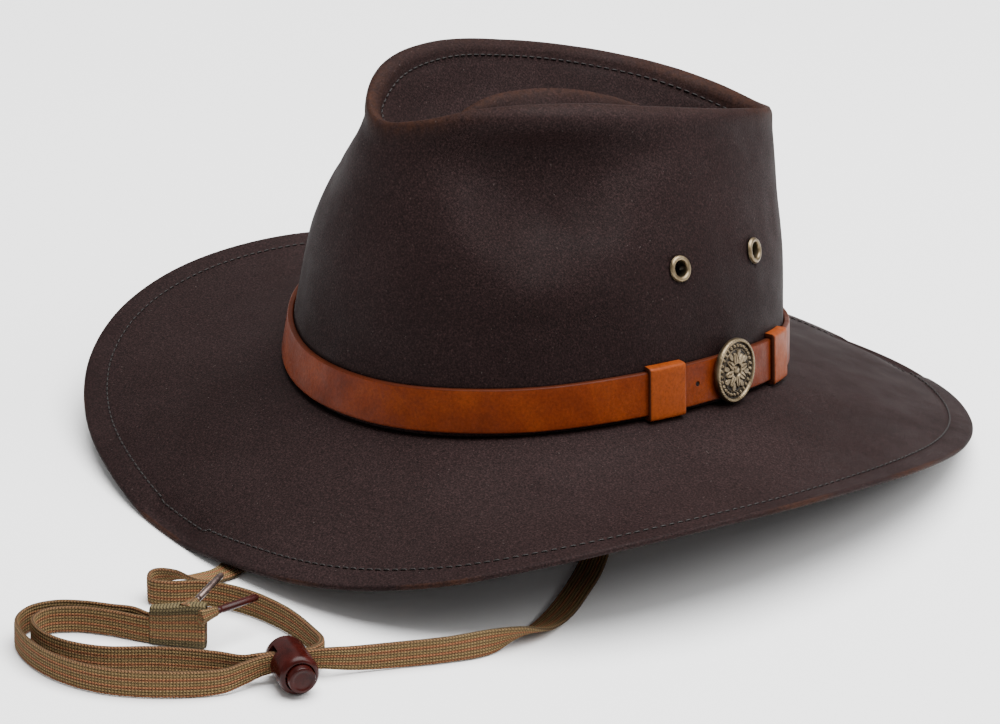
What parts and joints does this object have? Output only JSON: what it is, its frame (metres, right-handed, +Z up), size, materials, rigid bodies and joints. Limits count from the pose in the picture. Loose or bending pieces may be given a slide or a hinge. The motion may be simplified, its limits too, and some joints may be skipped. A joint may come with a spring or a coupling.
{
  "type": "bush hat",
  "caption": "Wide-brimmed bush hat with a creased crown, leather band, round concho, vent eyelets and a flat chin lace with a sprung cord lock.",
  "frame": {"origin": "middle of the brim's outline, on the surface that the hat rests on", "axes": "+Z up, -Y toward the front of the hat, +X toward the wearer's left, where the concho is"},
  "size_m": [0.3262, 0.4398, 0.1574],
  "materials": {
    "cloth": "waxed cotton, dark brown with fine worn specks",
    "leather": "tan with dark burnished edges",
    "brass": "antique",
    "lace": "ribbed woven lace in olive, tan and rust",
    "lock": "deep oxblood, satin",
    "tip": "dark brown metallic"
  },
  "bodies": {
    "hat": {"crown_side": "cloth", "crown_top": "cloth", "brim": "cloth", "band": "leather", "keeper_front": "leather", "keeper_back": "leather", "concho": "brass", "eyelet_left_front": "brass", "eyelet_left_back": "brass", "eyelet_right_front": "brass", "eyelet_right_back": "brass", "lace_right": "lace", "lace_left": "lace", "lace_knot": "lace", "aglet_metal": "tip", "aglet_plastic": "lock", "lock_barrel": "lock"},
    "lock_button": {"lock_button": "lock"}
  },
  "joints": [
    {"name": "button_press", "type": "slide", "parent": "hat", "child": "lock_button", "axis": [-0.9703, 0.2419, 0], "range_m": [0, 0.0025], "stiffness_N_per_m": 600, "springref_m": -0.002}
  ]
}
